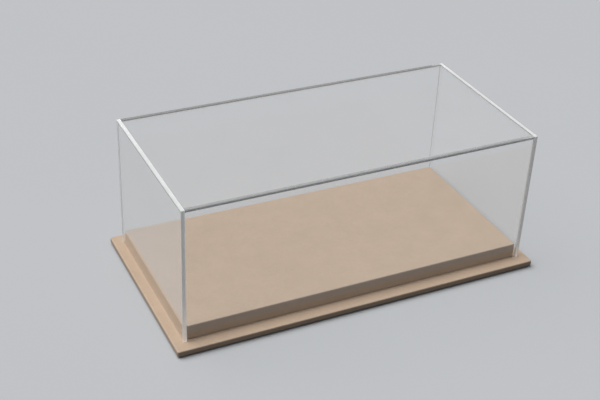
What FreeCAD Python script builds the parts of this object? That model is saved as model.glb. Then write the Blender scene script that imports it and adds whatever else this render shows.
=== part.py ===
import FreeCAD, Part
import math
import os

import Sketcher
from FreeCAD import Placement, Rotation, Vector

# A display case for one scale model, in millimetres. A thin wrapped base plate carries a thicker wrapped
# plinth, and a clear cover of five cemented sheets drops over the plinth and rests on the base's ledge.
# The origin is under the middle of the case, on the surface that it stands on. +X runs along the long
# side, -Y is the front and +Z is up.

SIZES = (
    ("cover_length", 309, "outside of one end panel to the outside of the other"),
    ("cover_width", 150, "outside of the front panel to the outside of the back panel"),
    ("cover_height", 119, "height of the upright panels"),
    ("sheet_thick", 3, "clear sheet of the cover"),
    ("edge_break", 0.4, "polished chamfer along the cover's outer edges"),
    ("end_ledge", 8, "base that shows past each end of the cover"),
    ("side_ledge", 10, "base that shows in front of the cover and behind it"),
    ("plinth_clearance", 0.5, "gap between the plinth and the inside of the cover"),
    ("base_board_thick", 4, "board inside the base plate"),
    ("plinth_board_thick", 12, "board inside the plinth"),
    ("board_corner_radius", 1, "upright corners of both boards"),
    ("board_edge_break", 0.5, "chamfered edges of both boards"),
    ("wrap_thick", 0.5, "sheet that covers both boards"),
    ("hem_width", 14, "wrap turned under a board, from its outer side"),
    ("mitre_gap", 0.4, "slit between two turned-under hems at a corner"),
    ("liner_thick", 0.5, "sheet under the base, between the hems"),
    ("liner_gap", 0.4, "room between the liner and the hems"),
    ("liner_corner_radius", 2, "corners of the liner"),
    ("pad_diameter", 12, "anti-slip pad"),
    ("pad_thick", 1, "anti-slip pad"),
    ("pad_edge_break", 0.3, "chamfered rim under a pad"),
    ("pad_margin", 4, "from the liner's edge to a pad"),
    ("screw_diameter", 3, "shank of a screw"),
    ("screw_head_diameter", 5.6, "countersunk head, of 90 degrees"),
    ("screw_tip_length", 2.4, "tapered point of a screw"),
    ("screw_tip_diameter", 0.6, "blunt end of the point"),
    ("screw_recess_length", 3.2, "one arm of the cross recess, end to end"),
    ("screw_recess_width", 0.6, "width of an arm of the recess"),
    ("screw_recess_depth", 1, "depth of the recess"),
    ("screw_margin", 13, "from the plinth's hem to a screw's axis"),
    ("screw_columns", 3, "screws along each long side"),
    ("screw_rows", 2, "rows of screws"),
    ("screw_room", 0.2, "gap round a screw in the base"),
    ("pilot_room", 0.05, "gap round a screw in the plinth"),
    ("wood_over_screw", 5, "board left above a screw's point"),
)

# Sizes and heights worked out from the driving ones.
BASE_LENGTH = "(sizes.cover_length + 2 * sizes.end_ledge)"
BASE_WIDTH = "(sizes.cover_width + 2 * sizes.side_ledge)"
PLINTH_INSET = "(sizes.sheet_thick + sizes.plinth_clearance)"
PLINTH_LENGTH = f"(sizes.cover_length - 2 * {PLINTH_INSET})"
PLINTH_WIDTH = f"(sizes.cover_width - 2 * {PLINTH_INSET})"
BASE_BOARD_LEVEL = "(sizes.pad_thick + sizes.liner_thick)"
BASE_WRAP_LEVEL = f"({BASE_BOARD_LEVEL} - sizes.wrap_thick)"
LEDGE_LEVEL = f"({BASE_BOARD_LEVEL} + sizes.base_board_thick + sizes.wrap_thick)"
PLINTH_BOARD_LEVEL = f"({LEDGE_LEVEL} + sizes.wrap_thick)"
SCREW_TOP_LEVEL = f"({PLINTH_BOARD_LEVEL} + sizes.plinth_board_thick - sizes.wood_over_screw)"
SCREW_REACH_X = f"({PLINTH_LENGTH} / 2 - sizes.hem_width - sizes.screw_margin)"
SCREW_REACH_Y = f"({PLINTH_WIDTH} / 2 - sizes.hem_width - sizes.screw_margin)"
PAD_INSET = "(sizes.hem_width + sizes.liner_gap + sizes.pad_margin + sizes.pad_diameter / 2)"

QUARTER_TURN = 90
HALF_TURN = Rotation(Vector(0, 0, 1), 2 * QUARTER_TURN)
NEAR = 1e-4

doc = FreeCAD.newDocument("display_case")
sheet = doc.addObject("Spreadsheet::Sheet", "sizes")
for row, (alias, number, note) in enumerate(SIZES, 1):
    sheet.set(f"A{row}", alias)
    sheet.set(f"B{row}", str(number))
    sheet.set(f"C{row}", note)
    sheet.setAlias(f"B{row}", alias)
doc.recompute()


def value(size):
    """The number that an expression over the sheet stands for."""
    return float(sheet.evalExpression(size))


def new_body(name, x="0", y="0", z="0", turn=Rotation()):
    """An empty sub-part whose place follows the sheet."""
    body = doc.addObject("PartDesign::Body", name)
    body.Label = name
    body.Placement = Placement(Vector(), turn)
    for axis, size in zip("xyz", (x, y, z)):
        body.setExpression(f"Placement.Base.{axis}", size)
    return body


def origin_part(body, role):
    return next(part for part in body.Origin.OriginFeatures if part.Role == role)


def new_sketch(body, name, plane="XY_Plane", lift="0"):
    sketch = body.newObject("Sketcher::SketchObject", name)
    sketch.AttachmentSupport = [(origin_part(body, plane), "")]
    sketch.MapMode = "FlatFace"
    sketch.setExpression("AttachmentOffset.Base.z", lift)
    return sketch


def dimension(sketch, kind, ends, size):
    """A driving constraint that follows the sheet."""
    number = sketch.addConstraint(Sketcher.Constraint(kind, *ends, value(size)))
    sketch.setExpression(f"Constraints[{number}]", size)


def pin(sketch, geometry, point, x, y):
    """Holds a point of the sketch at a place given by two expressions."""
    for axis, size in (("X", x), ("Y", y)):
        if value(size) < 0:
            dimension(sketch, f"Distance{axis}", (geometry, point, -1, 1), f"-({size})")
        else:
            dimension(sketch, f"Distance{axis}", (-1, 1, geometry, point), size)


def rectangle(sketch, length, width, on_axis=False):
    """A rectangle about the origin, or standing on the sketch's X axis."""
    half, low = value(length) / 2, 0 if on_axis else -value(width) / 2
    high = low + value(width)
    corners = [Vector(-half, low), Vector(half, low), Vector(half, high), Vector(-half, high)]
    for side in range(4):
        sketch.addGeometry(Part.LineSegment(corners[side], corners[(side + 1) % 4]))
        sketch.addConstraint(Sketcher.Constraint("Vertical" if side % 2 else "Horizontal", side))
    for side in range(4):
        sketch.addConstraint(Sketcher.Constraint("Coincident", side, 2, (side + 1) % 4, 1))
    opposite = (0, 2) if on_axis else (1, 2)
    sketch.addConstraint(Sketcher.Constraint("Symmetric", 0, 1, *opposite, -1, 1))
    dimension(sketch, "DistanceX", (0, 1, 0, 2), length)
    dimension(sketch, "DistanceY", (1, 1, 1, 2), width)


def rounded_rectangle(sketch, length, width, radius):
    """A rectangle about the origin with four equal rounded corners: lines are even, arcs odd."""
    half_length, half_width, round_off = value(length) / 2, value(width) / 2, value(radius)
    for side, (sign_x, sign_y) in enumerate(((1, -1), (1, 1), (-1, 1), (-1, -1))):
        before = Rotation(Vector(0, 0, 1), QUARTER_TURN * side).multVec(Vector(0, -1))
        after = Rotation(Vector(0, 0, 1), QUARTER_TURN * side).multVec(Vector(1, 0))
        along, across = (half_length, half_width) if side % 2 == 0 else (half_width, half_length)
        start = before * across - after * (along - round_off)
        end = before * across + after * (along - round_off)
        middle = Vector(sign_x * (half_length - round_off), sign_y * (half_width - round_off))
        turn = math.pi / 2 * side
        sketch.addGeometry(Part.LineSegment(start, end))
        circle = Part.Circle(middle, Vector(0, 0, 1), round_off)
        sketch.addGeometry(Part.ArcOfCircle(circle, turn - math.pi / 2, turn))
    for side in range(4):
        line, arc, following = 2 * side, 2 * side + 1, (2 * side + 2) % 8
        sketch.addConstraint(Sketcher.Constraint("Tangent", line, 2, arc, 1))
        sketch.addConstraint(Sketcher.Constraint("Tangent", arc, 2, following, 1))
        sketch.addConstraint(Sketcher.Constraint("Vertical" if side % 2 else "Horizontal", line))
        if side:
            sketch.addConstraint(Sketcher.Constraint("Equal", 1, arc))
    sketch.addConstraint(Sketcher.Constraint("Symmetric", 1, 3, 5, 3, -1, 1))
    dimension(sketch, "DistanceX", (6, 1, 2, 1), length)
    dimension(sketch, "DistanceY", (0, 1, 4, 1), width)
    dimension(sketch, "Radius", (1,), radius)


def polygon(sketch, points):
    """A closed outline whose corners are pairs of expressions."""
    places = [Vector(value(x), value(y)) for x, y in points]
    for side in range(len(points)):
        sketch.addGeometry(Part.LineSegment(places[side], places[(side + 1) % len(points)]))
    for side, (x, y) in enumerate(points):
        sketch.addConstraint(Sketcher.Constraint("Coincident", side, 2, (side + 1) % len(points), 1))
        pin(sketch, side, 1, x, y)


def circle(sketch, diameter, x="0", y="0"):
    sketch.addGeometry(Part.Circle(Vector(value(x), value(y)), Vector(0, 0, 1), value(diameter) / 2))
    if x == y == "0":
        sketch.addConstraint(Sketcher.Constraint("Coincident", 0, 3, -1, 1))
    else:
        pin(sketch, 0, 3, x, y)
    dimension(sketch, "Diameter", (0,), diameter)


def pad(body, name, sketch, length, backwards=False):
    feature = body.newObject("PartDesign::Pad", name)
    feature.Profile = sketch
    feature.Reversed = backwards
    feature.setExpression("Length", length)
    doc.recompute()
    return feature


def pocket(body, name, sketch, depth):
    """Cuts upwards from a sketch, and makes sure that it took something away."""
    before = body.Shape.Volume
    feature = body.newObject("PartDesign::Pocket", name)
    feature.Profile = sketch
    feature.Reversed = True
    feature.setExpression("Length", depth)
    doc.recompute()
    if not body.Shape.Volume < before - NEAR:
        raise RuntimeError(f"{name} cut nothing")
    return feature


def edges_where(feature, wanted):
    """The names of the edges all of whose ends pass a test, given as a list of points."""
    edges = enumerate(feature.Shape.Edges, 1)
    return [f"Edge{n}" for n, edge in edges if wanted([vertex.Point for vertex in edge.Vertexes])]


def dress(body, kind, name, feature, edges, size):
    """A Fillet or a Chamfer on some edges of a feature."""
    dressed = body.newObject(f"PartDesign::{kind}", name)
    dressed.Base = (feature, edges)
    dressed.setExpression("Radius" if kind == "Fillet" else "Size", size)
    doc.recompute()
    return dressed


def at_levels(points, levels):
    return any(all(abs(point.z - level) < NEAR for point in points) for level in levels)


def screw_grid(body, name, features):
    """Repeats the features made at the front left screw's place at the places of all of them."""
    grid = body.newObject("PartDesign::LinearPattern", name)
    grid.Originals = features
    grid.Direction = (origin_part(body, "X_Axis"), [""])
    grid.setExpression("Length", f"2 * {SCREW_REACH_X}")
    grid.setExpression("Occurrences", "sizes.screw_columns")
    grid.Direction2 = (origin_part(body, "Y_Axis"), [""])
    grid.setExpression("Length2", f"2 * {SCREW_REACH_Y}")
    grid.setExpression("Occurrences2", "sizes.screw_rows")
    body.Tip = grid
    doc.recompute()


def screw_hole(body, diameter, depth=None, sink=False):
    """The screws' holes, drilled from the underside of a board: countersunk right through, or blind."""
    sketch = new_sketch(body, f"{body.Name}_hole_place")
    circle(sketch, diameter, f"-{SCREW_REACH_X}", f"-{SCREW_REACH_Y}")
    doc.recompute()
    hole = body.newObject("PartDesign::Hole", f"{body.Name}_hole")
    hole.Profile = sketch
    hole.Reversed = True
    hole.setExpression("Diameter", diameter)
    if sink:
        hole.HoleCutType = "Countersink"
        hole.HoleCutCustomValues = True
        hole.HoleCutCountersinkAngle = QUARTER_TURN
        hole.setExpression("HoleCutDiameter", "sizes.screw_head_diameter")
    if depth is None:
        hole.DepthType = "ThroughAll"
    else:
        hole.DepthType = "Dimension"
        hole.setExpression("Depth", depth)
    hole.DrillPoint = "Flat"
    doc.recompute()
    screw_grid(body, f"{body.Name}_hole_grid", [hole])


def end_panel(name, x, turn):
    """An upright end sheet. It covers the ends of the long sheets, so three of its cut edges show."""
    body = new_body(name, x=x, z=LEDGE_LEVEL, turn=turn)
    outline = new_sketch(body, f"{name}_outline", "YZ_Plane")
    rectangle(outline, "sizes.cover_width", "sizes.cover_height", on_axis=True)
    sheet_cut = pad(body, f"{name}_sheet", outline, "sizes.sheet_thick")

    def outer(points):
        on_face = all(abs(point.x) < NEAR for point in points)
        across = abs(points[0].x - points[-1].x) > NEAR
        return on_face or across

    dress(body, "Chamfer", f"{name}_arris", sheet_cut, edges_where(sheet_cut, outer), "sizes.edge_break")
    return body


def long_panel(name, y, turn):
    """An upright long sheet, fitted between the end sheets."""
    body = new_body(name, y=y, z=LEDGE_LEVEL, turn=turn)
    outline = new_sketch(body, f"{name}_outline", "XZ_Plane")
    rectangle(outline, "sizes.cover_length - 2 * sizes.sheet_thick", "sizes.cover_height", on_axis=True)
    sheet_cut = pad(body, f"{name}_sheet", outline, "sizes.sheet_thick", backwards=True)

    def outer(points):
        on_face = all(abs(point.y) < NEAR for point in points)
        return on_face and abs(points[0].z - points[-1].z) < NEAR

    dress(body, "Chamfer", f"{name}_arris", sheet_cut, edges_where(sheet_cut, outer), "sizes.edge_break")
    return body


def top_panel(name):
    """The top sheet, let in between the four upright ones and flush with their top edges."""
    body = new_body(name, z=f"{LEDGE_LEVEL} + sizes.cover_height - sizes.sheet_thick")
    outline = new_sketch(body, f"{name}_outline")
    inside_length = "sizes.cover_length - 2 * sizes.sheet_thick"
    inside_width = "sizes.cover_width - 2 * sizes.sheet_thick"
    rectangle(outline, inside_length, inside_width)
    pad(body, f"{name}_sheet", outline, "sizes.sheet_thick")
    return body


def board(name, length, width, thick, level):
    """A board with eased edges, as large as its wrap leaves room for."""
    body = new_body(name, z=level)
    outline = new_sketch(body, f"{name}_outline")
    board_length, board_width = f"{length} - 2 * sizes.wrap_thick", f"{width} - 2 * sizes.wrap_thick"
    rounded_rectangle(outline, board_length, board_width, "sizes.board_corner_radius")
    plate = pad(body, f"{name}_plate", outline, thick)
    rims = edges_where(plate, lambda points: at_levels(points, (0, value(thick))))
    dress(body, "Chamfer", f"{name}_eased", plate, rims, "sizes.board_edge_break")
    return body


def wrap(name, length, width, thick, level):
    """A sheet stretched over a board, down its sides and under its edges, with mitred corners below."""
    body = new_body(name, z=level)
    outline = new_sketch(body, f"{name}_outline")
    rounded_rectangle(outline, length, width, "sizes.board_corner_radius + sizes.wrap_thick")
    full_height = f"{thick} + 2 * sizes.wrap_thick"
    block = pad(body, f"{name}_block", outline, full_height)
    rims = edges_where(block, lambda points: at_levels(points, (0, value(full_height))))
    bend = "sizes.board_edge_break + sizes.wrap_thick"
    dress(body, "Fillet", f"{name}_bend", block, rims, bend)

    window_length, window_width = f"{length} - 2 * sizes.hem_width", f"{width} - 2 * sizes.hem_width"
    window = new_sketch(body, f"{name}_window_outline")
    rectangle(window, window_length, window_width)
    pocket(body, f"{name}_window", window, "sizes.wrap_thick")

    inside = new_sketch(body, f"{name}_inside_outline", lift="sizes.wrap_thick")
    inside_length, inside_width = f"{length} - 2 * sizes.wrap_thick", f"{width} - 2 * sizes.wrap_thick"
    rounded_rectangle(inside, inside_length, inside_width, "sizes.board_corner_radius")
    hollow = pocket(body, f"{name}_inside", inside, thick)

    levels = (value("sizes.wrap_thick"), value(f"{thick} + sizes.wrap_thick"))
    reach_x, reach_y = value(window_length) / 2 + NEAR, value(window_width) / 2 + NEAR

    def inner_bend(points):
        past_window = all(abs(point.x) > reach_x or abs(point.y) > reach_y for point in points)
        return past_window and at_levels(points, levels)

    bent = edges_where(hollow, inner_bend)
    dress(body, "Chamfer", f"{name}_inner_bend", hollow, bent, "sizes.board_edge_break")

    corner_x, corner_y = f"({window_length}) / 2", f"({window_width}) / 2"
    lean = "sizes.mitre_gap / sqrt(8)"
    run = f"(sizes.hem_width - {bend})"
    slit = new_sketch(body, f"{name}_mitre_outline")
    slit_start = [(f"{corner_x} - 2 * {lean}", corner_y), (corner_x, f"{corner_y} - 2 * {lean}")]
    slit_end = [(f"{corner_x} + {run} + {lean}", f"{corner_y} + {run} - {lean}"),
                (f"{corner_x} + {run} - {lean}", f"{corner_y} + {run} + {lean}")]
    polygon(slit, slit_start + slit_end)
    mitre = pocket(body, f"{name}_mitre", slit, "sizes.wrap_thick")
    mitres = body.newObject("PartDesign::MultiTransform", f"{name}_mitres")
    mitres.Originals = [mitre]
    mirrors = []
    for plane in ("YZ_Plane", "XZ_Plane"):
        mirror = body.newObject("PartDesign::Mirrored", f"{name}_mitre_{plane[:2]}")
        mirror.MirrorPlane = (origin_part(body, plane), [""])
        mirrors.append(mirror)
    mitres.Transformations = mirrors
    body.Tip = mitres
    doc.recompute()
    return body


def underside_liner(name):
    """A thin sheet that fills the window between the base's hems and hides the screws."""
    body = new_body(name, z="sizes.pad_thick")
    outline = new_sketch(body, f"{name}_outline")
    room = "2 * (sizes.hem_width + sizes.liner_gap)"
    length, width = f"{BASE_LENGTH} - {room}", f"{BASE_WIDTH} - {room}"
    rounded_rectangle(outline, length, width, "sizes.liner_corner_radius")
    pad(body, f"{name}_sheet", outline, "sizes.liner_thick")
    return body


def foot_pad(name, side_x, side_y):
    """A thin disc with a chamfered lower rim, stuck to a corner of the liner."""
    x, y = f"{side_x} * ({BASE_LENGTH} / 2 - {PAD_INSET})", f"{side_y} * ({BASE_WIDTH} / 2 - {PAD_INSET})"
    body = new_body(name, x=x, y=y)
    outline = new_sketch(body, f"{name}_outline")
    circle(outline, "sizes.pad_diameter")
    disc = pad(body, f"{name}_disc", outline, "sizes.pad_thick")
    rim = edges_where(disc, lambda points: at_levels(points, (0,)))
    dress(body, "Chamfer", f"{name}_rim", disc, rim, "sizes.pad_edge_break")
    return body


def plinth_screws(name):
    """Countersunk screws from under the base into the plinth, with their heads in the board's sinks."""
    body = new_body(name, z=BASE_BOARD_LEVEL)
    body.AllowCompound = True
    profile = new_sketch(body, f"{name}_profile", "XZ_Plane", SCREW_REACH_Y)
    profile.setExpression("AttachmentOffset.Base.x", f"-{SCREW_REACH_X}")
    head, shank = "sizes.screw_head_diameter / 2", "sizes.screw_diameter / 2"
    end = f"({SCREW_TOP_LEVEL} - {BASE_BOARD_LEVEL})"
    polygon(profile, [
        ("0", "0"),
        (head, "0"),
        (shank, f"{head} - {shank}"),
        (shank, f"{end} - sizes.screw_tip_length"),
        ("sizes.screw_tip_diameter / 2", end),
        ("0", end),
    ])
    doc.recompute()
    turned = body.newObject("PartDesign::Revolution", f"{name}_turned")
    turned.Profile = profile
    turned.ReferenceAxis = (profile, ["V_Axis"])
    turned.Angle = 4 * QUARTER_TURN
    doc.recompute()
    recesses = []
    for arm in ("along", "across"):
        slot = new_sketch(body, f"{name}_recess_{arm}_outline")
        slot.setExpression("AttachmentOffset.Base.x", f"-{SCREW_REACH_X}")
        slot.setExpression("AttachmentOffset.Base.y", f"-{SCREW_REACH_Y}")
        sides = ["sizes.screw_recess_length", "sizes.screw_recess_width"]
        rectangle(slot, *(sides if arm == "along" else reversed(sides)))
        recesses.append(pocket(body, f"{name}_recess_{arm}", slot, "sizes.screw_recess_depth"))
    screw_grid(body, f"{name}_grid", [turned, *recesses])
    return body


def punch(body):
    """The screws' holes through the top layer of the base's wrap."""
    sketch = new_sketch(body, f"{body.Name}_punch_place", lift="sizes.base_board_thick + sizes.wrap_thick")
    diameter = "sizes.screw_diameter + 2 * sizes.screw_room"
    circle(sketch, diameter, f"-{SCREW_REACH_X}", f"-{SCREW_REACH_Y}")
    hole = pocket(body, f"{body.Name}_punch", sketch, "sizes.wrap_thick")
    screw_grid(body, f"{body.Name}_punch_grid", [hole])


def build():
    """Makes every sub-part and returns them."""
    half_length, half_width = "sizes.cover_length / 2", "sizes.cover_width / 2"
    base = (BASE_LENGTH, BASE_WIDTH, "sizes.base_board_thick")
    plinth = (PLINTH_LENGTH, PLINTH_WIDTH, "sizes.plinth_board_thick")
    parts = [
        top_panel("cover_top_panel"),
        long_panel("cover_front_panel", f"-{half_width}", Rotation()),
        long_panel("cover_back_panel", half_width, HALF_TURN),
        end_panel("cover_left_panel", f"-{half_length}", Rotation()),
        end_panel("cover_right_panel", half_length, HALF_TURN),
    ]
    base_board = board("base_board", *base, BASE_BOARD_LEVEL)
    screw_hole(base_board, "sizes.screw_diameter + 2 * sizes.screw_room", sink=True)
    base_wrap = wrap("base_wrap", *base, BASE_WRAP_LEVEL)
    punch(base_wrap)
    plinth_board = board("plinth_board", *plinth, PLINTH_BOARD_LEVEL)
    bite = f"{SCREW_TOP_LEVEL} - {PLINTH_BOARD_LEVEL}"
    screw_hole(plinth_board, "sizes.screw_diameter + 2 * sizes.pilot_room", depth=bite)
    plinth_wrap = wrap("plinth_wrap", *plinth, LEDGE_LEVEL)
    parts += [base_board, base_wrap, plinth_board, plinth_wrap]
    parts += [underside_liner("underside_liner"), plinth_screws("plinth_screws")]
    for end, side_y in (("front", -1), ("back", 1)):
        for side, side_x in (("left", -1), ("right", 1)):
            parts.append(foot_pad(f"foot_pad_{end}_{side}", side_x, side_y))
    return parts


def check(parts):
    """Stops if any object failed to compute or any sub-part isn't a valid shape."""
    doc.recompute()
    failed = [item.Name for item in doc.Objects if {"Invalid", "Error"} & set(item.State)]
    failed += [part.Name for part in parts if part.Shape.isNull() or not part.Shape.isValid()]
    if failed:
        raise RuntimeError(f"these failed: {failed}")


def export(parts):
    os.makedirs("parts", exist_ok=True)
    for part in parts:
        part.Shape.exportStep(f"parts/{part.Label}.step")


parts = build()
check(parts)
export(parts)
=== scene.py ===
"""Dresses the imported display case: a clear cover of five sheets over a suede-wrapped plinth and base."""

import math

import bmesh
import bpy
from bpy.props import FloatProperty, FloatVectorProperty, PointerProperty
from mathutils import Matrix, Vector


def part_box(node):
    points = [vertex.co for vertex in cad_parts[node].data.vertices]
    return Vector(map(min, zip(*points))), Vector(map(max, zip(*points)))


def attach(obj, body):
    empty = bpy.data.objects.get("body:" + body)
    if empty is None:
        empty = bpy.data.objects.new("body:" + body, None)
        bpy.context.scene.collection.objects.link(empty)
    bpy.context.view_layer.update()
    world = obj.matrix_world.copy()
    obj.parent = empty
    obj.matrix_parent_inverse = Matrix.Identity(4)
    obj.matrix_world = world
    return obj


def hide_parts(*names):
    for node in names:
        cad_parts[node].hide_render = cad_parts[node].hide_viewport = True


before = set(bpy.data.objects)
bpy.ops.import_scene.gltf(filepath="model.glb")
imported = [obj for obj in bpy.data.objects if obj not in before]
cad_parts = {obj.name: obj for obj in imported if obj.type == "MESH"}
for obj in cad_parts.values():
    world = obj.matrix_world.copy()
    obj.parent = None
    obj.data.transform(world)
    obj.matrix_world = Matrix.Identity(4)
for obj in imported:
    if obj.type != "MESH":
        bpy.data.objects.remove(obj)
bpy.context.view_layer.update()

bl_info = {
    "name": "Display case",
    "version": (1, 0, 0),
    "blender": (4, 5, 0),
    "location": "View3D > Sidebar > Display case",
    "description": "Finishes a display case: a lift-off clear cover over a wrapped plinth and base",
    "category": "Object",
}

MM = 0.001
BASE, COVER = "base", "cover"
COVER_PANELS = ("top", "front", "back", "left", "right")
END_PANELS = ("left", "right")
PADS = tuple(f"foot_pad_{end}_{side}" for end in ("front", "back") for side in ("left", "right"))

# How near two levels count as one, how squarely a face points along an axis, and how close to the middle
# of a slit a face lies that is cut out of it.
NEAR = 1e-5
SQUARE_ON = 0.99
IN_SLIT = 0.4

# Flat strips in each rounding, and the shading that keeps the large faces flat beside them.
ARRIS_STRIPS, EASED_STRIPS, CORNER_STRIPS, RIM_STRIPS, LINER_STRIPS = 3, 2, 6, 5, 2
SMOOTH_ANGLE = math.radians(40)
FLAT_FACE_WEIGHT = 100

# The gap between the felt and the hems, and the share of the felt's thickness that its lower edge loses.
LINER_GAP = 0.4 * MM
LINER_EASE = 0.4

# The cover's plastic: how it bends light and how clear its faces are; then how clear and how rough its cut
# edges are and how strongly they glow, an emission that paints the light they gather, sawn on the end
# sheets and polished on the others.
CLEAR_IOR = 1.49
SHEET_CLEAR = 0.98
SAWN_EDGE = {"clear": 0.35, "rough": 0.4, "painted_glow": 0.15}
POLISHED_EDGE = {"clear": 0.72, "rough": 0.15, "painted_glow": 0.02}

# The stage: its floor, what floor and surroundings send back on to the case, and the light overhead.
FLOOR_SIDE = 8.0
FLOOR_BOUNCE = 0.15
FILL_COLOUR = (0.171, 0.175, 0.18)
LIGHT_FROM = Vector((-0.36, 0.38, 1.0))
LIGHT_SPREAD = math.radians(60)
LIGHT_STRENGTH = 2.85

# The photograph's camera: where it stands, the way it looks, its tilt and its lens on a 36 mm frame.
CAMERA_PLACE = Vector((-387.87, -724.42, 562.96)) * MM
CAMERA_AZIMUTH = math.radians(-26.786)
CAMERA_ELEVATION = math.radians(31.734)
CAMERA_ROLL = math.radians(2.713)
CAMERA_LENS, CAMERA_FRAME = 68.515, 36.0
CAMERA_NEAREST = 0.01


def node_box(*nodes):
    """The lowest and highest corners of some CAD nodes together."""
    boxes = [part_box(node) for node in nodes]
    low = Vector(min(box[0][axis] for box in boxes) for axis in range(3))
    high = Vector(max(box[1][axis] for box in boxes) for axis in range(3))
    return low, high


COVER_LOW, COVER_HIGH = node_box(*(f"cover_{side}_panel" for side in COVER_PANELS))
SHEET_THICK = COVER_HIGH.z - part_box("cover_top_panel")[0][2]
SPACE_LOW = COVER_LOW + Vector((SHEET_THICK, SHEET_THICK, -SHEET_THICK))
SPACE_HIGH = COVER_HIGH - Vector.Fill(3, SHEET_THICK)
LINER_LOW, LINER_HIGH = node_box("underside_liner")
BASE_LOW = node_box("base_wrap")[0]
WRAP_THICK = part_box("base_board")[0][0] - BASE_LOW.x
HEM_WIDTH = LINER_LOW.x - BASE_LOW.x - LINER_GAP


class CaseSizes(bpy.types.PropertyGroup):
    """Small forms of the pieces: edges, bends, hems, seams and corners."""

    arris: FloatProperty(
        name="Arris", description="Polished rounding along the cover's outer edges",
        default=0.4 * MM, unit="LENGTH")
    eased_rim: FloatProperty(
        name="Eased rim", description="Easing round the top sheet, where it is let in between the others",
        default=0.15 * MM, unit="LENGTH")
    cement_line: FloatProperty(
        name="Cement line", description="Room that the cement takes between two sheets of the cover",
        default=0.03 * MM, unit="LENGTH")
    corner_radius: FloatProperty(
        name="Corner radius", description="Upright corners of the wrapped boards",
        default=1.5 * MM, unit="LENGTH")
    rim_radius: FloatProperty(
        name="Rim radius", description="Bend of the wrap over the boards' edges",
        default=1.0 * MM, unit="LENGTH")
    hem_width: FloatProperty(
        name="Hem width", description="Wrap turned under a board",
        default=HEM_WIDTH, unit="LENGTH")
    wrap_thick: FloatProperty(
        name="Wrap thickness", description="Thickness of the suede sheet",
        default=WRAP_THICK, unit="LENGTH")
    mitre_gap: FloatProperty(
        name="Mitre gap", description="Slit between the hems at a corner",
        default=0.4 * MM, unit="LENGTH")
    flap_width: FloatProperty(
        name="Flap width", description="How far the long sides' flaps reach round a corner",
        default=2.5 * MM, unit="LENGTH")
    seam_gap: FloatProperty(
        name="Seam gap", description="Slit where a flap meets the short side",
        default=0.15 * MM, unit="LENGTH")
    liner_corner: FloatProperty(
        name="Liner corner", description="Rounded corners of the felt under the base",
        default=2.0 * MM, unit="LENGTH")


class CaseColours(bpy.types.PropertyGroup):
    """Colours of the finishes."""

    suede: FloatVectorProperty(
        name="Suede", description="Nap of the wrap", subtype="COLOR", default=(0.58, 0.438, 0.325))
    # Paler nap along the upper bends: partly worn nap, partly a painted highlight.
    suede_worn_and_highlight: FloatVectorProperty(
        name="Worn suede", description="Nap rubbed thin along the bends", subtype="COLOR",
        default=(0.64, 0.51, 0.40))
    sheet: FloatVectorProperty(
        name="Clear sheet", description="Tint of the cover's sheets", subtype="COLOR",
        default=(0.997, 1.0, 0.999))
    cut_edge: FloatVectorProperty(
        name="Cut edge", description="Edge of a sheet, sawn or polished", subtype="COLOR",
        default=(0.97, 0.98, 0.98))
    fibreboard: FloatVectorProperty(
        name="Fibreboard", description="Raw board inside the wraps", subtype="COLOR",
        default=(0.36, 0.25, 0.15))
    felt: FloatVectorProperty(
        name="Felt", description="Sheet under the base", subtype="COLOR", default=(0.052, 0.047, 0.043))
    rubber: FloatVectorProperty(
        name="Rubber", description="Anti-slip pads", subtype="COLOR", default=(0.03, 0.03, 0.032))
    steel: FloatVectorProperty(
        name="Steel", description="Plated screws", subtype="COLOR", default=(0.62, 0.62, 0.60))
    floor: FloatVectorProperty(
        name="Floor", description="Pale studio floor as the camera sees it", subtype="COLOR",
        default=(0.545, 0.555, 0.573))


class Wire:
    """A socket whose arithmetic adds Math nodes."""

    def __init__(self, finish, socket):
        self.finish, self.socket = finish, socket

    def _math(self, operation, first, second):
        return self.finish.node("ShaderNodeMath", {"operation": operation}, {0: first, 1: second})

    def __add__(self, other):
        return self._math("ADD", self, other)

    def __radd__(self, other):
        return self._math("ADD", other, self)

    def __sub__(self, other):
        return self._math("SUBTRACT", self, other)

    def __rsub__(self, other):
        return self._math("SUBTRACT", other, self)

    def __mul__(self, other):
        return self._math("MULTIPLY", self, other)

    def __rmul__(self, other):
        return self._math("MULTIPLY", other, self)

    def larger(self, other):
        return self._math("MAXIMUM", self, other)


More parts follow.
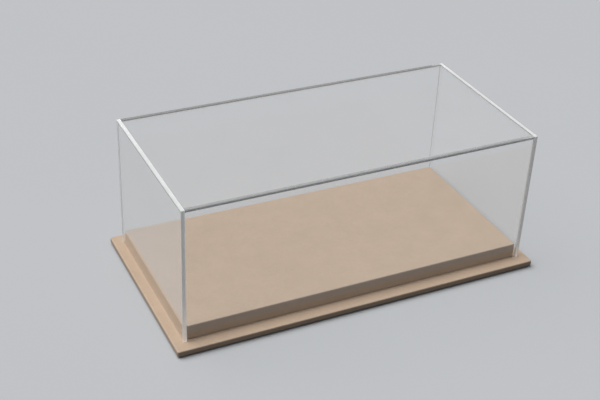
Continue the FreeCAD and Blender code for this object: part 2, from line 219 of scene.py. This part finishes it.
class Finish:
    """The nodes of a material or of the world."""

    def __init__(self, owner, output="ShaderNodeOutputMaterial"):
        owner.use_nodes = True
        self.owner, self.tree = owner, owner.node_tree
        self.tree.nodes.clear()
        self.output = self.tree.nodes.new(output)

    def node(self, kind, settings=None, sockets=None, result=0):
        """Adds a node, sets it up, feeds its sockets and gives one of its results."""
        made = self.tree.nodes.new(kind)
        for name, setting in (settings or {}).items():
            setattr(made, name, setting)
        for name, feed in (sockets or {}).items():
            if isinstance(feed, Wire):
                self.tree.links.new(feed.socket, made.inputs[name])
            elif isinstance(feed, (tuple, list)) and len(feed) == 3 and made.inputs[name].type == "RGBA":
                made.inputs[name].default_value = (*feed, 1.0)
            else:
                made.inputs[name].default_value = feed
        return Wire(self, made.outputs[result])

    def place(self):
        return self.node("ShaderNodeTexCoord", result="Object")

    def ray(self, kind):
        """1 for rays of a kind, such as shadow or diffuse rays, and 0 for others."""
        return self.node("ShaderNodeLightPath", result=f"Is {kind} Ray")

    def stretched(self, vector, scale):
        return self.node("ShaderNodeMapping", sockets={"Vector": vector, "Scale": scale})

    def noise(self, vector, scale=1.0, detail=2.0, roughness=0.5, distortion=0.0):
        sockets = {"Vector": vector, "Scale": scale, "Detail": detail, "Roughness": roughness,
                   "Distortion": distortion}
        return self.node("ShaderNodeTexNoise", sockets=sockets)

    def spread(self, wire, low, high):
        """Maps a stretch of a value to 0 to 1, smoothly."""
        sockets = {"Value": wire, "From Min": low, "From Max": high}
        return self.node("ShaderNodeMapRange", {"interpolation_type": "SMOOTHSTEP"}, sockets)

    def blend(self, share, first, second):
        """Mixes two colours by a share."""
        return self.node("ShaderNodeMix", {"data_type": "RGBA"}, {0: share, 6: first, 7: second}, result=2)

    def bump(self, height, strength, distance):
        return self.node("ShaderNodeBump", sockets={
            "Height": height, "Strength": strength, "Distance": distance})

    def principled(self, **feeds):
        """The main shader, whose sockets are named in small letters with _ for a space."""
        sockets = {}
        for name, feed in feeds.items():
            sockets[name.replace("_", " ").title().replace("Ior", "IOR")] = feed
        return self.node("ShaderNodeBsdfPrincipled", sockets=sockets)

    def transparent(self, colour):
        return self.node("ShaderNodeBsdfTransparent", sockets={"Color": colour})

    def mixed(self, share, first, second):
        """Mixes two shaders by a share."""
        return self.node("ShaderNodeMixShader", sockets={0: share, 1: first, 2: second})

    def finish(self, shader):
        self.tree.links.new(shader.socket, self.output.inputs["Surface"])
        return self.owner


def shifted(colour, factor):
    """A colour made lighter or darker."""
    return tuple(min(channel * factor, 1.0) for channel in colour)


def suede_finish(colours):
    """Matte nap: soft mottling, brushed streaks, short fibres, and the upper bends paler, partly rubbed
    nap and partly a painted highlight.
    """
    made = Finish(bpy.data.materials.new("suede"))
    place = made.place()
    mottle = made.noise(place, scale=55.0, detail=4.0, roughness=0.55)
    brushed = made.stretched(place, (380.0, 760.0, 760.0))
    streak = made.noise(brushed, detail=3.0, roughness=0.6, distortion=0.6)
    fibre = made.noise(place, scale=2600.0, detail=3.0, roughness=0.65)
    nap = made.spread(mottle * 0.25 + streak * 0.35 + fibre * 0.4, low=0.3, high=0.7)
    ground = made.blend(nap, shifted(colours.suede, 0.91), shifted(colours.suede, 1.08))
    bend = made.node("ShaderNodeAttribute", {"attribute_name": "bend"}, result="Fac")
    # Painted highlight mixed with rubbed nap: the upper bends are made paler in colour.
    worn_and_highlight = bend * made.spread(streak, low=0.3, high=0.7) * 0.7
    return made.finish(made.principled(
        base_color=made.blend(worn_and_highlight, ground, tuple(colours.suede_worn_and_highlight)),
        roughness=0.86 + fibre * 0.12,
        normal=made.bump(fibre * 0.7 + streak * 0.3, strength=0.35, distance=0.12 * MM),
        sheen_weight=0.12, sheen_roughness=0.5, specular_ior_level=0.2))


def clear_sheet_finish(colours):
    """Clear sheet that lets lamps and bounced light through to what it covers."""
    made = Finish(bpy.data.materials.new("clear_sheet"))
    place = made.place()
    haze = made.spread(made.noise(place, scale=24.0, detail=5.0, roughness=0.6), low=0.45, high=0.75)
    dust = made.spread(made.noise(place, scale=1900.0), low=0.70, high=0.78)
    tint = made.blend(haze * 0.5 + dust * 0.4, tuple(colours.sheet), shifted(colours.sheet, 0.97))
    sheet = made.principled(
        base_color=tint, roughness=haze * 0.02, ior=CLEAR_IOR, transmission_weight=SHEET_CLEAR)
    passing = made.ray("Shadow").larger(made.ray("Diffuse"))
    through = made.transparent(shifted(colours.sheet, 0.985))
    return made.finish(made.mixed(passing, sheet, through))


def cut_edge_finish(name, colours, clear, rough, painted_glow):
    """Cut edge, which scatters the light that the sheet gathers, and less of it where it is polished; its
    emission is a painted glow for that gathered light.
    """
    made = Finish(bpy.data.materials.new(name))
    place = made.place()
    saw = made.noise(place, scale=700.0, detail=4.0, roughness=0.6)
    cloud = made.spread(made.noise(place, scale=130.0, detail=3.0), low=0.35, high=0.65)
    colour = made.blend(cloud, shifted(colours.cut_edge, 0.94), tuple(colours.cut_edge))
    edge = made.principled(
        base_color=colour, roughness=rough + saw * (rough / 2), ior=CLEAR_IOR, transmission_weight=clear,
        normal=made.bump(saw, strength=0.15, distance=0.05 * MM),
        # The emission is painted light: a glow that stands in for the light the sheet gathers and the edge
        # lets out.
        emission_color=colour, emission_strength=painted_glow)
    return made.finish(made.mixed(made.ray("Shadow"), edge, made.transparent((0.8, 0.8, 0.8))))


def cement_finish(colours):
    """Cemented joint between two sheets: a milky film with a few bubbles."""
    made = Finish(bpy.data.materials.new("cement_joint"))
    bubbles = made.spread(made.noise(made.place(), scale=850.0), low=0.60, high=0.70)
    film = made.principled(
        base_color=made.blend(bubbles, shifted(colours.cut_edge, 0.9), tuple(colours.cut_edge)),
        roughness=0.3 + bubbles * 0.3)
    through = made.transparent(shifted(colours.sheet, 0.99))
    return made.finish(made.mixed(0.7 + bubbles * 0.25, through, film))


def fibreboard_finish(colours):
    """Raw board of pressed wood fibres."""
    made = Finish(bpy.data.materials.new("fibreboard"))
    place = made.place()
    pressed = made.stretched(place, (900.0, 1500.0, 2600.0))
    fibre = made.noise(pressed, detail=4.0, roughness=0.65, distortion=0.6)
    fleck = made.spread(made.noise(place, scale=520.0, detail=3.0, roughness=0.6), low=0.5, high=0.72)
    ground = made.blend(fibre, shifted(colours.fibreboard, 0.8), shifted(colours.fibreboard, 1.2))
    return made.finish(made.principled(
        base_color=made.blend(fleck * 0.5, ground, shifted(colours.fibreboard, 0.55)),
        roughness=0.75 + fibre * 0.2,
        normal=made.bump(fibre, strength=0.3, distance=0.1 * MM)))


def felt_finish(colours):
    """Pressed felt: tangled fibres with paler flecks."""
    made = Finish(bpy.data.materials.new("felt"))
    place = made.place()
    tangle = made.noise(place, scale=1500.0, detail=4.0, roughness=0.7, distortion=1.5)
    patch = made.noise(place, scale=70.0, detail=3.0)
    pale = made.spread(tangle * 0.7 + patch * 0.3, low=0.35, high=0.68)
    return made.finish(made.principled(
        base_color=made.blend(pale, shifted(colours.felt, 0.6), shifted(colours.felt, 1.9)),
        roughness=0.9 + tangle * 0.1,
        normal=made.bump(tangle, strength=0.5, distance=0.2 * MM),
        sheen_weight=0.3, sheen_roughness=0.6))


def rubber_finish(colours):
    """Matte rubber with a moulded grain."""
    made = Finish(bpy.data.materials.new("pad_rubber"))
    place = made.place()
    grain = made.noise(place, scale=2200.0, detail=3.0, roughness=0.55)
    bloom = made.noise(place, scale=180.0, detail=3.0)
    pale = made.spread(bloom, low=0.4, high=0.7)
    return made.finish(made.principled(
        base_color=made.blend(pale, tuple(colours.rubber), shifted(colours.rubber, 1.8)),
        roughness=0.55 + bloom * 0.3,
        normal=made.bump(grain, strength=0.3, distance=0.05 * MM)))


def steel_finish(colours):
    """Zinc-plated screw steel with fine turning marks."""
    made = Finish(bpy.data.materials.new("screw_steel"))
    place = made.place()
    turned = made.noise(made.stretched(place, (300.0, 300.0, 6000.0)), detail=3.0)
    plating = made.noise(place, scale=900.0, detail=3.0)
    return made.finish(made.principled(
        base_color=made.blend(plating, shifted(colours.steel, 0.85), shifted(colours.steel, 1.08)),
        metallic=1.0, roughness=0.25 + turned * 0.2,
        normal=made.bump(turned, strength=0.1, distance=0.02 * MM)))


def floor_finish(colours):
    """Pale floor. What bounces off it on to the case is darker, so that shaded sides stay shaded."""
    made = Finish(bpy.data.materials.new("studio_floor"))
    grain = made.noise(made.place(), scale=3.0, detail=4.0, roughness=0.6)
    seen = made.blend(grain, shifted(colours.floor, 0.985), shifted(colours.floor, 1.015))
    colour = made.blend(made.ray("Diffuse"), seen, shifted(colours.floor, FLOOR_BOUNCE))
    return made.finish(made.principled(base_color=colour, roughness=0.9, specular_ior_level=0.1))


def start_box(name, low, high):
    """A box primitive at its size and place, with the place in its mesh."""
    bpy.ops.object.select_all(action="DESELECT")
    bpy.ops.mesh.primitive_cube_add(size=1, location=(low + high) / 2, scale=high - low)
    made = bpy.context.object
    made.name = made.data.name = name
    bpy.ops.object.transform_apply(location=True, rotation=True, scale=True)
    return made


def edit(made):
    bpy.context.view_layer.objects.active = made
    bpy.ops.object.mode_set(mode="EDIT")


def leave():
    bpy.ops.object.mode_set(mode="OBJECT")


def pick(made, kind, wanted):
    """In edit mode, selects only the faces or edges that pass a test."""
    bpy.ops.mesh.select_mode(type=kind)
    bpy.ops.mesh.select_all(action="DESELECT")
    mesh = bmesh.from_edit_mesh(made.data)
    for item in mesh.faces if kind == "FACE" else mesh.edges:
        item.select_set(wanted(item))
    bmesh.update_edit_mesh(made.data)


def round_off(made, wanted, radius, strips):
    """In edit mode, rounds the edges that pass a test."""
    pick(made, "EDGE", wanted)
    bpy.ops.mesh.bevel(offset=radius, segments=strips, affect="EDGES")


def cut(made, wanted, place, normal):
    """In edit mode, cuts the faces that pass a test along a plane."""
    pick(made, "FACE", wanted)
    bpy.ops.mesh.bisect(plane_co=place, plane_no=normal)


def remove(made, wanted):
    """In edit mode, deletes the faces that pass a test."""
    pick(made, "FACE", wanted)
    bpy.ops.mesh.delete(type="FACE")


def assign(made, index, wanted):
    """In edit mode, gives the faces that pass a test one of the piece's finishes."""
    pick(made, "FACE", wanted)
    made.active_material_index = index
    bpy.ops.object.material_slot_assign()


def ends_at(edge, axis, level):
    return all(abs(vert.co[axis] - level) < NEAR for vert in edge.verts)


def upright(edge):
    return abs(edge.verts[0].co.z - edge.verts[1].co.z) > NEAR


def smooth(made):
    """Rounds the shading of the bends and keeps the large faces flat."""
    bpy.ops.object.shade_smooth_by_angle(angle=SMOOTH_ANGLE)
    even = made.modifiers.new("flat_faces", "WEIGHTED_NORMAL")
    even.keep_sharp = True
    even.weight = FLAT_FACE_WEIGHT
    bpy.ops.object.modifier_apply(modifier=even.name)


def settle(made, body, slot, *nodes):
    """Puts a finished piece on its body, in place of its CAD nodes."""
    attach(made, body)
    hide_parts(*nodes)


def cover_panel(side, sizes, finishes):
    """One clear sheet: rounded outer arrises, cut edges in their own finish, and milky joints."""
    node = f"cover_{side}_panel"
    low, high = node_box(node)
    thin = min(range(3), key=lambda axis: high[axis] - low[axis])
    across = [axis for axis in range(3) if axis != thin]
    for axis in across:
        low[axis] += sizes.cement_line * (low[axis] > COVER_LOW[axis] + NEAR)
        high[axis] -= sizes.cement_line * (high[axis] < COVER_HIGH[axis] - NEAR)
    made = start_box(f"clear_{side}_sheet", low, high)
    for finish in finishes:
        made.data.materials.append(finish)
    middle = (COVER_LOW + COVER_HIGH) / 2

    def outer_arris(item):
        corners = (COVER_LOW, COVER_HIGH)
        return sum(ends_at(item, axis, corner[axis]) for axis in range(3) for corner in corners) >= 2

    def large_face(item):
        return abs(item.normal[thin]) > SQUARE_ON

    def jointed(item):
        centre = item.calc_center_median()
        if large_face(item):
            inward = (centre - middle)[thin] * item.normal[thin] < 0
            return inward and any(not SPACE_LOW[axis] < centre[axis] < SPACE_HIGH[axis] for axis in across)
        return any(
            abs(item.normal[axis]) > SQUARE_ON
            and COVER_LOW[axis] + NEAR < centre[axis] < COVER_HIGH[axis] - NEAR
            for axis in across)

    edit(made)
    round_off(made, outer_arris, sizes.arris, ARRIS_STRIPS)
    if side == "top":
        round_off(made, lambda item: ends_at(item, 2, high.z), sizes.eased_rim, EASED_STRIPS)
    for axis in across:
        for level in (SPACE_LOW[axis], SPACE_HIGH[axis]):
            bpy.ops.mesh.select_all(action="SELECT")
            bpy.ops.mesh.bisect(plane_co=Vector.Fill(3, level), plane_no=Matrix.Identity(3)[axis])
    assign(made, 1, lambda item: not large_face(item))
    assign(made, 2, jointed)
    leave()
    smooth(made)
    settle(made, COVER, "clear_sheet", node)


def turn_under(made, low, high, sizes):
    """In edit mode, opens the underside to a hem whose corners are mitred."""
    window_low = low + Vector.Fill(3, sizes.hem_width)
    window_high = high - Vector.Fill(3, sizes.hem_width)

    def under(item):
        return item.normal.z < -SQUARE_ON and item.calc_center_median().z < low.z + NEAR

    for axis in range(2):
        for level in (window_low[axis], window_high[axis]):
            cut(made, under, Vector.Fill(3, level), Matrix.Identity(3)[axis])
    remove(made, lambda item: under(item) and all(
        window_low[axis] < item.calc_center_median()[axis] < window_high[axis] for axis in range(2)))
    for x, x_sign in ((window_low.x, -1), (window_high.x, 1)):
        for y, y_sign in ((window_low.y, -1), (window_high.y, 1)):
            corner = Vector((x, y, low.z))
            across = Vector((x_sign, -y_sign, 0)).normalized()

            def in_corner(item):
                reach = item.calc_center_median() - corner
                return under(item) and reach.x * x_sign > 0 and reach.y * y_sign > 0

            for side in (-0.5, 0.5):
                cut(made, in_corner, corner + side * sizes.mitre_gap * across, across)
            remove(made, lambda item: in_corner(item) and abs(
                (item.calc_center_median() - corner).dot(across)) < IN_SLIT * sizes.mitre_gap)


def corner_seams(made, low, high, sizes):
    """In edit mode, slits the short sides next to each corner, where the long sides' flaps end."""
    for end, sign in ((low.x, -1), (high.x, 1)):
        for y in (low.y + sizes.flap_width, high.y - sizes.flap_width):

            def on_end(item):
                return item.normal.x * sign > SQUARE_ON and abs(item.calc_center_median().x - end) < NEAR

            for side in (-0.5, 0.5):
                cut(made, on_end, Vector((end, y + side * sizes.seam_gap, 0)), (0, 1, 0))
            remove(made, lambda item: on_end(item) and abs(
                item.calc_center_median().y - y) < IN_SLIT * sizes.seam_gap)


def mark_bends(made, low, high, sizes):
    """Marks the middle of the upper bends, where the nap wears and where a highlight is painted."""

    def bend_share(place):
        depths = [min(place[axis] - low[axis], high[axis] - place[axis]) for axis in range(2)]
        return float(high.z - place.z < sizes.rim_radius - NEAR and min(depths) < sizes.rim_radius - NEAR)

    layer = made.data.attributes.new("bend", "FLOAT", "POINT")
    for vert in made.data.vertices:
        layer.data[vert.index].value = bend_share(vert.co)


def wrapped(name, node, sizes, finish):
    """A suede sheet over a board: bent over the rims, turned under in a hem, with its own thickness."""
    low, high = node_box(node)
    made = start_box(name, low, high)
    made.data.materials.append(finish)
    edit(made)
    round_off(made, upright, sizes.corner_radius, CORNER_STRIPS)
    round_off(made, lambda item: ends_at(item, 2, low.z) or ends_at(item, 2, high.z),
              sizes.rim_radius, RIM_STRIPS)
    turn_under(made, low, high, sizes)
    corner_seams(made, low, high, sizes)
    leave()
    mark_bends(made, low, high, sizes)
    sheet = made.modifiers.new("sheet_thickness", "SOLIDIFY")
    sheet.thickness, sheet.offset = sizes.wrap_thick, -1.0
    bpy.ops.object.modifier_apply(modifier=sheet.name)
    smooth(made)
    settle(made, BASE, "suede", node)
    turned = high.z - low.z + sizes.hem_width
    flat = [high[axis] - low[axis] + 2 * turned for axis in range(2)]
    area = flat[0] * flat[1] - 2 * turned ** 2


class CASE_OT_cover(bpy.types.Operator):
    """Makes the five clear sheets of the cover"""

    bl_idname = "case.cover"
    bl_label = "Cover"

    def execute(self, context):
        sizes, colours = context.scene.case_sizes, context.scene.case_colours
        sheet, cement = clear_sheet_finish(colours), cement_finish(colours)
        sawn = cut_edge_finish("cut_edge", colours, **SAWN_EDGE)
        polished = cut_edge_finish("polished_edge", colours, **POLISHED_EDGE)
        for side in COVER_PANELS:
            cover_panel(side, sizes, (sheet, sawn if side in END_PANELS else polished, cement))
        return {"FINISHED"}


class CASE_OT_wraps(bpy.types.Operator):
    """Makes the suede wraps of the base and the plinth"""

    bl_idname = "case.wraps"
    bl_label = "Suede wraps"

    def execute(self, context):
        sizes = context.scene.case_sizes
        finish = suede_finish(context.scene.case_colours)
        wrapped("suede_base", "base_wrap", sizes, finish)
        wrapped("suede_plinth", "plinth_wrap", sizes, finish)
        return {"FINISHED"}


class CASE_OT_liner(bpy.types.Operator):
    """Makes the felt sheet under the base"""

    bl_idname = "case.liner"
    bl_label = "Felt liner"

    def execute(self, context):
        sizes = context.scene.case_sizes
        flat = LINER_HIGH - LINER_LOW
        made = start_box("felt_liner", LINER_LOW, LINER_HIGH)
        made.data.materials.append(felt_finish(context.scene.case_colours))
        edit(made)
        round_off(made, upright, sizes.liner_corner, CORNER_STRIPS)
        round_off(made, lambda item: ends_at(item, 2, LINER_LOW.z), LINER_EASE * flat.z, LINER_STRIPS)
        leave()
        smooth(made)
        settle(made, BASE, "felt", "underside_liner")
        return {"FINISHED"}


class CASE_OT_hardware(bpy.types.Operator):
    """Gives the boards, pads and screws their finishes"""

    bl_idname = "case.hardware"
    bl_label = "Boards, pads and screws"

    def execute(self, context):
        colours = context.scene.case_colours
        finishes = {
            fibreboard_finish(colours): ("base_board", "plinth_board"),
            rubber_finish(colours): PADS,
            steel_finish(colours): ("plinth_screws",),
        }
        for finish, nodes in finishes.items():
            for node in nodes:
                for slot in bpy.data.objects[node].material_slots:
                    slot.material = finish
        return {"FINISHED"}


def studio_floor(context):
    """A wide plain floor under the case."""
    bpy.ops.object.select_all(action="DESELECT")
    bpy.ops.mesh.primitive_plane_add(size=FLOOR_SIDE, location=(0, 0, 0))
    floor = context.object
    floor.name = "studio_floor"
    floor.data.materials.append(floor_finish(context.scene.case_colours))


def soft_light(context):
    """Wide, even light from overhead, a little from behind and from one end."""
    lamp = bpy.data.lights.new("overhead_light", "SUN")
    lamp.angle, lamp.energy = LIGHT_SPREAD, LIGHT_STRENGTH
    holder = bpy.data.objects.new("overhead_light", lamp)
    holder.visible_glossy = holder.visible_transmission = False
    turn = LIGHT_FROM.to_track_quat("Z", "Y").to_matrix().to_4x4()
    holder.matrix_world = Matrix.Translation(LIGHT_FROM) @ turn
    context.scene.collection.objects.link(holder)


def studio_world(colours):
    """Surroundings as pale as the floor, which light the case only dimly."""
    made = Finish(bpy.data.worlds.new("studio"), "ShaderNodeOutputWorld")
    colour = made.blend(made.ray("Diffuse"), tuple(colours.floor), FILL_COLOUR)
    return made.finish(made.node("ShaderNodeBackground", sockets={"Color": colour}))


def photo_camera(context):
    """A camera that sees the case as the photograph does."""
    back = Vector((
        math.sin(CAMERA_AZIMUTH) * math.cos(CAMERA_ELEVATION),
        -math.cos(CAMERA_AZIMUTH) * math.cos(CAMERA_ELEVATION),
        math.sin(CAMERA_ELEVATION)))
    level = (-back).cross(Vector((0, 0, 1))).normalized()
    right = math.cos(CAMERA_ROLL) * level + math.sin(CAMERA_ROLL) * back.cross(level)
    up = back.cross(right)
    data = bpy.data.cameras.new("photo_camera")
    data.sensor_width, data.lens, data.clip_start = CAMERA_FRAME, CAMERA_LENS, CAMERA_NEAREST
    camera = bpy.data.objects.new("photo_camera", data)
    turn = Matrix((right, up, back)).transposed().to_4x4()
    camera.matrix_world = Matrix.Translation(CAMERA_PLACE) @ turn
    context.scene.collection.objects.link(camera)
    context.scene.camera = camera


class CASE_OT_stage(bpy.types.Operator):
    """Sets the floor, the soft light and the camera"""

    bl_idname = "case.stage"
    bl_label = "Stage"

    def execute(self, context):
        studio_floor(context)
        soft_light(context)
        context.scene.world = studio_world(context.scene.case_colours)
        photo_camera(context)
        context.scene.view_settings.view_transform = "Standard"
        return {"FINISHED"}


OPERATORS = (CASE_OT_cover, CASE_OT_wraps, CASE_OT_liner, CASE_OT_hardware, CASE_OT_stage)


class CASE_PT_panel(bpy.types.Panel):
    """Lists the case's pieces in the sidebar"""

    bl_idname = "CASE_PT_panel"
    bl_label = "Display case"
    bl_space_type = "VIEW_3D"
    bl_region_type = "UI"
    bl_category = "Display case"

    def draw(self, context):
        for group in (context.scene.case_sizes, context.scene.case_colours):
            for name in group.__annotations__:
                self.layout.prop(group, name)
        for operator in OPERATORS:
            self.layout.operator(operator.bl_idname)


CLASSES = (CaseSizes, CaseColours, *OPERATORS, CASE_PT_panel)


def register():
    for item in CLASSES:
        bpy.utils.register_class(item)
    bpy.types.Scene.case_sizes = PointerProperty(type=CaseSizes)
    bpy.types.Scene.case_colours = PointerProperty(type=CaseColours)


def unregister():
    del bpy.types.Scene.case_sizes
    del bpy.types.Scene.case_colours
    for item in reversed(CLASSES):
        bpy.utils.unregister_class(item)


def main():
    register()
    for operator in OPERATORS:
        group, name = operator.bl_idname.split(".")
        getattr(getattr(bpy.ops, group), name)()


if __name__ == "__main__":
    main()
